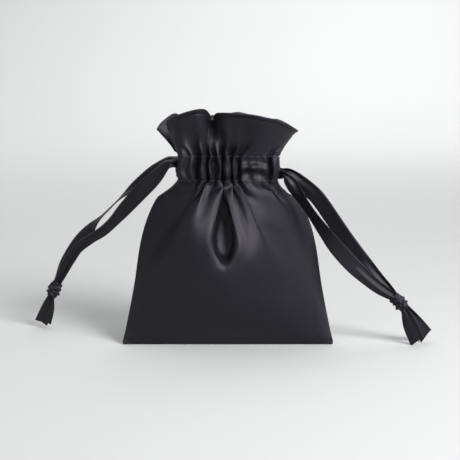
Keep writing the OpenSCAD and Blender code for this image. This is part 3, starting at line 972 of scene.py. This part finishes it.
def creased(grid):
    """Creases the ungathered stretch of the channel along the ribbon inside it."""
    x, z = grid[..., 0], grid[..., 2]
    within = ease((x - CREASE_FROM) / (1.6 * MM)) * ease((CREASE_TO - x) / (2.6 * MM))
    up = (z - NECK_Z) / (HEADER_Z - NECK_Z) + 0.10 * ease((x - 10 * MM) / (5 * MM))
    held = ease(up / 0.12) * ease((1 - up) / 0.12)
    waves = sum(height * bump(up, middle_up, spread) for middle_up, spread, height in CREASES)
    ripple = 1 + 0.25 * np.sin(x / (1.1 * MM))
    push = waves * within * held * ripple * MM * (grid[..., 1] < 0)
    return grid + grid_normals(grid, -1) * push[..., None]


def row_at(stack, heights, height):
    """A row of the grid at any height, between its own rows."""
    above = int(np.clip(np.searchsorted(heights, height), 1, len(heights) - 1))
    low, high = heights[above - 1], heights[above]
    share = (height - low) / (high - low)
    return stack[above - 1] * (1 - share) + stack[above] * share


def panel_with_facing(grid, normals, cloth):
    """Rows of one continuous sheet: up the outside, over the hem and down the inside."""
    heights, lower, upper = drawn["heights"], drawn["lower"], drawn["upper"]
    columns = drawn["columns"]
    top = heights[-1]
    outside = heights < top - 1.6 * HEM
    rows, flat = list(grid[outside]), list(heights[outside])
    for below, push in HEM_RELIEF:
        height = top - below * HEM
        rows.append(row_at(grid, heights, height) + row_at(normals, heights, height) * push * MM)
        flat.append(height)
    rise = as_units(grid[-1] - grid[-2])
    for i, (lift, inward) in enumerate(HEM_FOLD):
        rows.append(grid[-1] + rise * lift * MM - normals[-1] * inward * FACING_GAP)
        flat.append(top + 0.12 * MM * i)
    turned = flat[-1]
    sign = -1 if np.mean(normals[lower:upper, :, 1]) < 0 else 1
    for r in range(len(heights) - 2, lower - 2, -1):
        nested = grid[r] - normals[r] * FACING_GAP
        t = (r - lower) / (upper - lower)
        inside = 1 - abs(2 * t - 1) ** 5 if 0 < t < 1 else 0.0
        straight = nested * (0.93, 0, 1) + np.array((0, sign * (RUN_Y - 0.9 * MM), 0))
        rows.append(nested * (1 - inside) + straight * inside)
        flat.append(turned + top - heights[r])
    u = np.linspace(-cloth.flat_width / 2, cloth.flat_width / 2, columns)
    uv = [(x, y) for y in flat for x in u]
    return np.array(rows), uv, flat[-1]


class POUCH_OT_satin(bpy.types.Operator):
    """Gathers the two satin panels by simulation and makes each with its turned-in facing"""

    bl_idname = "pouch.satin"
    bl_label = "Satin panels"

    def execute(self, context):
        cloth = context.scene.pouch_cloth
        drawn.update(draw_closed(cloth))
        rounds = 22
        even = [softened_header(evened(grid, 1, 0.5)) for grid in drawn["panels"]]
        front, back = (softened_body(grid, rounds) for grid in even)
        front = softened_body(dented(front), rounds // 6)
        drawn["panels"] = np.array([waved(creased(front)), back])
        for grid, (face, sign, _, _) in zip(drawn["panels"], FACES):
            rows, uv, length = panel_with_facing(grid, grid_normals(grid, sign), cloth)
            faces = grid_faces(len(rows), drawn["columns"], flip=sign > 0)
            mesh = make_mesh(f"satin_{face}", rows.reshape(-1, 3), faces, uv)
            panel = add_object(f"satin_{face}", mesh, material_named("Satin"))
            subdivide(panel)
            thicken(panel, cloth.thickness, -1)
            finish_piece(panel, "pouch", "satin", f"{face}_panel", f"{face}_facing")
        return {"FINISHED"}


def need_satin():
    if not drawn:
        raise RuntimeError("make the satin panels first: the seams and stitches follow them")


def strip_solid(name, outer, inner, thickness, material):
    """A thin closed strip between two lines, such as a raw seam edge."""
    rows = np.array([outer + (inner - outer) * share for share in (0, 0.33, 0.66, 1.0)])
    mesh = make_mesh(name, rows.reshape(-1, 3), grid_faces(len(rows), len(outer)))
    strip = add_object(name, mesh, material)
    thicken(strip, thickness, 0)
    return strip


def inward_from(edge, front, back, reach):
    """Points that lie reach inside a seam, midway between its two panels."""
    way = as_units((front + back) / 2 - edge)
    frayed = 1 + 0.04 * np.sin(np.arange(len(edge)) * 2.4)
    return edge + way * reach * frayed[:, None]


class POUCH_OT_seams(bpy.types.Operator):
    """Makes the raw seam edges inside the pouch"""

    bl_idname = "pouch.seams"
    bl_label = "Seam edges"

    def execute(self, context):
        need_satin()
        front, back = drawn["panels"]
        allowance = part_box("bottom_seam")[1].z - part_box("bottom_seam")[0].z
        thickness = 2 * context.scene.pouch_cloth.thickness
        raw = material_named("Raw satin edge")
        flat_width = context.scene.pouch_cloth.flat_width
        inset = max(3, round(allowance / flat_width * drawn["columns"]))
        up = max(2, round(inset * 0.8))
        sides = slice(3, drawn["slit"])
        inside = slice(inset + 2, drawn["columns"] - inset - 2)
        seams = {
            "left": ((sides, 0), (sides, inset), "left_seam_edge", "left_side_seam"),
            "right": ((sides, -1), (sides, -1 - inset), "right_seam_edge", "right_side_seam"),
            "bottom": ((0, inside), (up, inside), "bottom_seam_edge", "bottom_seam")}
        lines = {}
        for seam, (at, beside, name, stands_for) in seams.items():
            start, reach, lines[seam] = (
                inward_from(front[at], front[beside], back[beside], distance)
                for distance in (EDGE_START, allowance, SEAM_STITCHES))
            strip = strip_solid(name, start, reach, thickness, raw)
            finish_piece(strip, "pouch", "satin_inside", stands_for)
        drawn["seam_lines"] = lines
        return {"FINISHED"}


# ---------------------------------------------------------------- stitches

def stitch_tree():
    """Geometry nodes that lay stitches of thread end to end along a line."""
    tree = bpy.data.node_groups.new("Stitches", "GeometryNodeTree")
    sockets(tree, "INPUT", "Geometry", "Geometry")
    sockets(tree, "INPUT", "Float", "Pitch", "Length", "Thickness")
    sockets(tree, "INPUT", "Material", "Material")
    sockets(tree, "OUTPUT", "Geometry", "Geometry")
    entry = tree.nodes.new("NodeGroupInput")
    end = tree.nodes.new("NodeGroupOutput")
    curve = tree.nodes.new("GeometryNodeMeshToCurve")
    spaced = tree.nodes.new("GeometryNodeResampleCurve")
    spaced.mode = "LENGTH"
    tangent = tree.nodes.new("GeometryNodeInputTangent")
    turned = tree.nodes.new("FunctionNodeAlignRotationToVector")
    turned.axis = "Z"
    shape = node(tree, "GeometryNodeMeshUVSphere", Segments=6, Rings=5, Radius=0.5)
    size = tree.nodes.new("ShaderNodeCombineXYZ")
    place = tree.nodes.new("GeometryNodeInstanceOnPoints")
    real = tree.nodes.new("GeometryNodeRealizeInstances")
    paint = tree.nodes.new("GeometryNodeSetMaterial")
    for source, output, goal, entrance in (
            (entry, "Geometry", curve, "Mesh"), (curve, "Curve", spaced, "Curve"),
            (entry, "Pitch", spaced, "Length"), (spaced, "Curve", place, "Points"),
            (shape, "Mesh", place, "Instance"), (tangent, "Tangent", turned, "Vector"),
            (turned, "Rotation", place, "Rotation"), (entry, "Thickness", size, "X"),
            (entry, "Thickness", size, "Y"), (entry, "Length", size, "Z"),
            (size, "Vector", place, "Scale"), (place, "Instances", real, "Geometry"),
            (real, "Geometry", paint, "Geometry"), (entry, "Material", paint, "Material"),
            (paint, "Geometry", end, "Geometry")):
        tree.links.new(source.outputs[output], goal.inputs[entrance])
    return tree


def stitched(name, line, pitch, length, thickness):
    """Plain mesh stitches along a line of points."""
    tree = bpy.data.node_groups.get("Stitches") or stitch_tree()
    thread = material_named("Thread")
    mesh = bpy.data.meshes.new(name)
    joins = [(i, i + 1) for i in range(len(line) - 1)]
    mesh.from_pydata([tuple(float(x) for x in p) for p in line], joins, [])
    guide = bpy.data.objects.new(name + "_line", mesh)
    bpy.context.scene.collection.objects.link(guide)
    modifier = guide.modifiers.new("Stitches", "NODES")
    modifier.node_group = tree
    wanted = {"Pitch": pitch, "Length": length, "Thickness": thickness, "Material": thread}
    for item in tree.interface.items_tree:
        if item.in_out == "INPUT" and item.name in wanted:
            modifier[item.identifier] = wanted[item.name]
    bpy.context.view_layer.update()
    made = bpy.data.meshes.new_from_object(guide.evaluated_get(bpy.context.evaluated_depsgraph_get()))
    bpy.data.objects.remove(guide)
    made.name = name
    return add_object(name, made, None)


class POUCH_OT_stitches(bpy.types.Operator):
    """Sews the channel's four rows, the three seams and the two bar tacks"""

    bl_idname = "pouch.stitches"
    bl_label = "Stitches"

    def sew(self, name, line, pitch, length, thickness):
        stitches = stitched(name + "_thread", line, pitch, length, thickness)
        finish_piece(stitches, "pouch", "thread", name)

    def execute(self, context):
        need_satin()
        thread = context.scene.pouch_thread
        wide = thread.thickness
        for grid, (face, sign, _, _) in zip(drawn["panels"], FACES):
            normals = grid_normals(grid, sign)
            for row in ("lower", "upper"):
                level = drawn[row]
                line = (grid[level] + normals[level] * 0.3 * wide)[2:-2]
                self.sew(f"{face}_{row}_stitching", line, thread.pitch, thread.stitch, wide)
        for seam, line in drawn["seam_lines"].items():
            self.sew(f"{seam}_seam_stitching", line, thread.pitch, thread.stitch, 2 * wide)
        front, back = drawn["panels"]
        slit = drawn["slit"]
        for side, column, beside in (("left", 0, 2), ("right", -1, -3)):
            top = front[slit, column]
            sink = unit(front[slit - 2, column] - top)
            points = []
            for i in range(7):
                across = (front if i % 2 else back)[slit - 1, beside]
                points.append(across * 0.8 + top * 0.2 + sink * i * 0.18 * MM)
            self.sew(f"{side}_bar_tack", even_points(np.array(points), 40), 0.5 * MM, 0.62 * MM, wide)
        return {"FINISHED"}


# ---------------------------------------------------------------- the stage

# The point that the camera looks at
TARGET = Vector((0.0008, 0, 0.0426))
# The floor's half width, its front end, where it starts to curve up, the curve's radius and the
# backdrop's top, in metres
HALF_FLOOR, FLOOR_FRONT, FLOOR_BACK, CURVE, BACKDROP_TOP = 3.0, -4.0, 0.9, 0.5, 2.2
# Each light's place, size, power in watts, the point it aims at and the full angle of its beam
LIGHTS = {
    "key": ((0.38, -0.38, 0.40), 0.36, 4.5, (0, 0, 0.05), 130),
    "fill": ((-0.45, -0.5, 0.40), 0.30, 0.5, (0, 0, 0.05), 180),
    "overhead": ((-0.3, 0.75, 1.2), 1.5, 13.0, (-0.3, 0.75, 0.0), 180),
    "backdrop": ((0.45, 0.95, 1.0), 0.8, 7.6, (0.1, 1.2, 0.1), 120),
}


class POUCH_OT_camera(bpy.types.Operator):
    """Puts the camera in front of the pouch, a little above it"""

    bl_idname = "pouch.camera"
    bl_label = "Camera"

    def execute(self, context):
        stage = context.scene.pouch_stage
        data = bpy.data.cameras.new("camera")
        data.lens = stage.lens
        data.sensor_width = 36
        camera = bpy.data.objects.new("camera", data)
        back = Vector((0, -math.cos(stage.elevation), math.sin(stage.elevation)))
        camera.location = TARGET + back * stage.distance
        camera.rotation_euler = (-back).to_track_quat("-Z", "Y").to_euler()
        context.scene.collection.objects.link(camera)
        context.scene.camera = camera
        return {"FINISHED"}


def soft_light(name, place, size, power, aim, spread):
    data = bpy.data.lights.new(name, "AREA")
    data.shape = "DISK"
    data.size = size
    data.energy = power
    data.spread = math.radians(spread)
    light = bpy.data.objects.new(name, data)
    light.location = place
    light.rotation_euler = (Vector(aim) - Vector(place)).to_track_quat("-Z", "Y").to_euler()
    bpy.context.scene.collection.objects.link(light)


class POUCH_OT_stage(bpy.types.Operator):
    """Makes the pale floor with its curved backdrop, the soft lights and the daylight"""

    bl_idname = "pouch.stage"
    bl_label = "Stage"

    def execute(self, context):
        stage = context.scene.pouch_stage
        profile = [(FLOOR_FRONT, 0), (FLOOR_BACK, 0)]
        profile += [(FLOOR_BACK + CURVE * math.sin(a), CURVE * (1 - math.cos(a)))
                    for a in np.linspace(0, math.pi / 2, 13)[1:]]
        profile.append((FLOOR_BACK + CURVE, BACKDROP_TOP))
        points = [(x, y, z) for y, z in profile for x in (-HALF_FLOOR, HALF_FLOOR)]
        mesh = make_mesh("floor", points, grid_faces(len(profile), 2))
        floor = add_object("floor", mesh, self.floor_material(stage))
        world = bpy.data.worlds.new("daylight")
        world.use_nodes = True
        sky = world.node_tree.nodes["Background"]
        set_inputs(sky, Color=(0.97, 0.985, 1.0, 1), Strength=stage.daylight)
        context.scene.world = world
        for name, light in LIGHTS.items():
            soft_light(name, *light)
        context.scene.view_settings.view_transform = "Standard"
        return {"FINISHED"}

    def floor_material(self, stage):
        material = bpy.data.materials.new("Pale floor")
        material.use_nodes = True
        tree = material.node_tree
        shader = tree.nodes["Principled BSDF"]
        place = tree.nodes.new("ShaderNodeTexCoord")
        cloudy = node(tree, "ShaderNodeTexNoise", Scale=6.0, Detail=3.0)
        tree.links.new(place.outputs["Object"], cloudy.inputs["Vector"])
        tones = two_tone(tree, cloudy.outputs["Fac"], shade(stage.colour, 0.99), shade(stage.colour, 1.01))
        tree.links.new(tones, shader.inputs["Base Color"])
        set_inputs(shader, Roughness=0.75, Specular_IOR_Level=0.2)
        return material


# ---------------------------------------------------------------- the panel and the order of work

STEPS = ("camera", "ribbon_ends", "ribbon_runs", "satin", "seams", "stitches", "stage")


class POUCH_PT_sidebar(bpy.types.Panel):
    """Lists the steps that build the pouch, and its sizes and colours"""

    bl_idname = "POUCH_PT_sidebar"
    bl_label = "Gift pouch"
    bl_space_type = "VIEW_3D"
    bl_region_type = "UI"
    bl_category = "Pouch"

    def draw(self, context):
        for step in STEPS:
            self.layout.operator(f"pouch.{step}")
        for settings in (context.scene.pouch_cloth, context.scene.pouch_ribbon,
                         context.scene.pouch_thread, context.scene.pouch_stage):
            box = self.layout.box()
            for name in settings.bl_rna.properties.keys():
                if name not in ("rna_type", "name"):
                    box.prop(settings, name)


CLASSES = (
    PouchCloth, PouchRibbon, PouchThread, PouchStage,
    POUCH_OT_camera, POUCH_OT_ribbon_ends, POUCH_OT_ribbon_runs, POUCH_OT_satin,
    POUCH_OT_seams, POUCH_OT_stitches, POUCH_OT_stage, POUCH_PT_sidebar)
SETTINGS = {
    "pouch_cloth": PouchCloth, "pouch_ribbon": PouchRibbon,
    "pouch_thread": PouchThread, "pouch_stage": PouchStage}


def register():
    for item in CLASSES:
        bpy.utils.register_class(item)
    for name, group in SETTINGS.items():
        setattr(bpy.types.Scene, name, PointerProperty(type=group))


def unregister():
    for name in SETTINGS:
        delattr(bpy.types.Scene, name)
    for item in reversed(CLASSES):
        bpy.utils.unregister_class(item)


def main():
    register()
    for step in STEPS:
        getattr(bpy.ops.pouch, step)()


if __name__ == "__main__":
    main()
